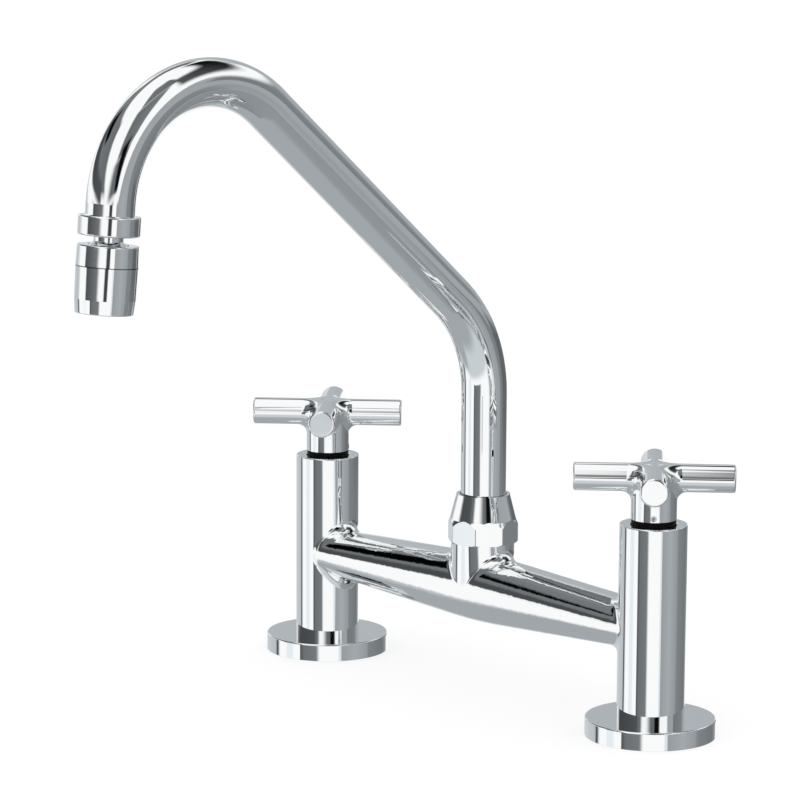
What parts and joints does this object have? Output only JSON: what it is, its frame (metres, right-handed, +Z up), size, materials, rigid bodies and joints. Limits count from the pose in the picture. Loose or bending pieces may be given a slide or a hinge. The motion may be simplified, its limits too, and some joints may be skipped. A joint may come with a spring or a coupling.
{
  "type": "bridge kitchen faucet",
  "caption": "Deck-mounted bridge faucet: upright valve pillars with cross handles, a tapered bridge, a bent tubular swivel spout and a ball-jointed aerator.",
  "frame": {"origin": "deck level, midway between the axes of the two valve pillars", "axes": "+X along the bridge from the left to the right pillar, -Y to the front, where the spout points, +Z up"},
  "size_m": [0.2552, 0.2429, 0.2795],
  "materials": {
    "polished_chrome": "polished chrome plate on brass",
    "brass": "machined",
    "steel": "machined stainless steel",
    "black_rubber": "matte",
    "black_plastic": "satin",
    "white_plastic": "satin",
    "ceramic": "lapped aluminium oxide ceramic"
  },
  "bodies": {
    "base": {"left_flange": "polished_chrome", "left_deck_seal": "black_rubber", "left_pillar": "polished_chrome", "left_valve_body": "brass", "left_valve_ring": "black_rubber", "left_seat_seal": "black_rubber", "left_fixed_disc": "ceramic", "left_guide_ring": "black_plastic", "right_flange": "polished_chrome", "right_deck_seal": "black_rubber", "right_pillar": "polished_chrome", "right_valve_body": "brass", "right_valve_ring": "black_rubber", "right_seat_seal": "black_rubber", "right_fixed_disc": "ceramic", "right_guide_ring": "black_plastic", "bridge": "polished_chrome", "spout_nut": "polished_chrome", "lower_glide_ring": "white_plastic", "upper_glide_ring": "white_plastic"},
    "left_handle": {"left_handle": "polished_chrome", "left_spindle": "brass", "left_turning_disc": "ceramic", "left_spindle_ring": "black_rubber", "left_grub_screw": "steel"},
    "right_handle": {"right_handle": "polished_chrome", "right_spindle": "brass", "right_turning_disc": "ceramic", "right_spindle_ring": "black_rubber", "right_grub_screw": "steel"},
    "spout": {"spout_tube": "polished_chrome", "spout_tailpiece": "brass", "lower_spout_ring": "black_rubber", "upper_spout_ring": "black_rubber", "outlet_collar": "polished_chrome", "outlet_seal": "black_rubber"},
    "swivel": {"swivel_stud": "polished_chrome"},
    "aerator": {"aerator_cap": "polished_chrome", "ball_seal": "black_rubber", "aerator_shell": "polished_chrome", "aerator_washer": "black_rubber", "aerator_insert": "white_plastic", "aerator_mesh": "white_plastic"}
  },
  "joints": [
    {"name": "left_handle_turn", "type": "hinge", "parent": "base", "child": "left_handle", "pos_m": [-0.1, 0, 0.1075], "axis": [0, 0, 1], "range_deg": [0, 90]},
    {"name": "right_handle_turn", "type": "hinge", "parent": "base", "child": "right_handle", "pos_m": [0.1, 0, 0.1075], "axis": [0, 0, 1], "range_deg": [-90, 0]},
    {"name": "spout_swivel", "type": "hinge", "parent": "base", "child": "spout", "pos_m": [0, 0, 0.0858], "axis": [0, 0, 1], "continuous": true},
    {"name": "outlet_spin", "type": "hinge", "parent": "spout", "child": "swivel", "pos_m": [0, -0.20132, 0.21188], "axis": [0, -0.0854, -0.9963], "continuous": true},
    {"name": "outlet_tilt", "type": "hinge", "parent": "swivel", "child": "aerator", "pos_m": [0, -0.20195, 0.20461], "axis": [1, 0, 0], "range_deg": [-15, 15]}
  ]
}
